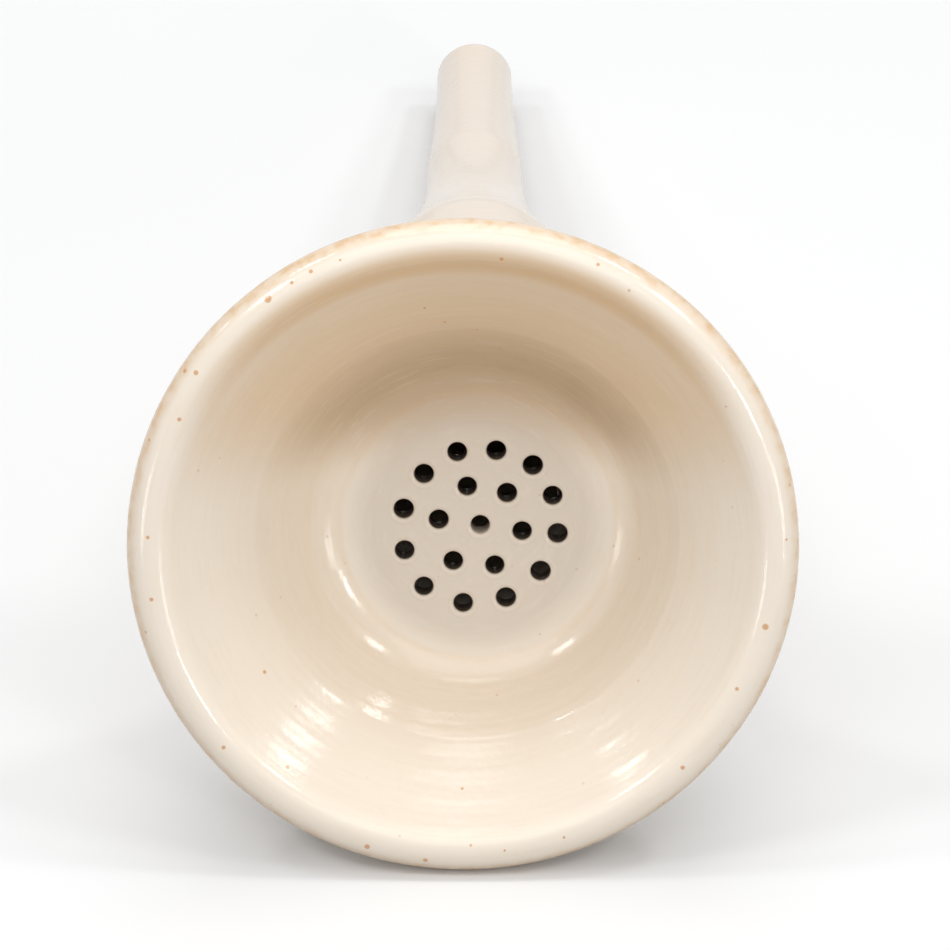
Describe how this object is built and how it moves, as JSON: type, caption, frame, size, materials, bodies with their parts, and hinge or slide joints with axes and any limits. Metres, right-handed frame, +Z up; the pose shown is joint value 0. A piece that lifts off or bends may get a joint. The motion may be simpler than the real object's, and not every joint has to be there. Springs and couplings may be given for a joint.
{
  "type": "hirsch funnel",
  "caption": "Small porcelain filter funnel with a flared cup, a fixed perforated filter plate and a long tapered stem.",
  "frame": {"origin": "middle of the footprint's bounding box, on the surface that the funnel lies on", "axes": "+Z up, -Y the way the mouth faces, +Y the way the stem points, +X to the right seen from the mouth"},
  "size_m": [0.06, 0.1398, 0.0574],
  "materials": {
    "glazed_porcelain": "glossy cream glaze with fine tan specks, thinner and tan on the lip"
  },
  "bodies": {
    "root": {"funnel": "glazed_porcelain"}
  },
  "joints": []
}
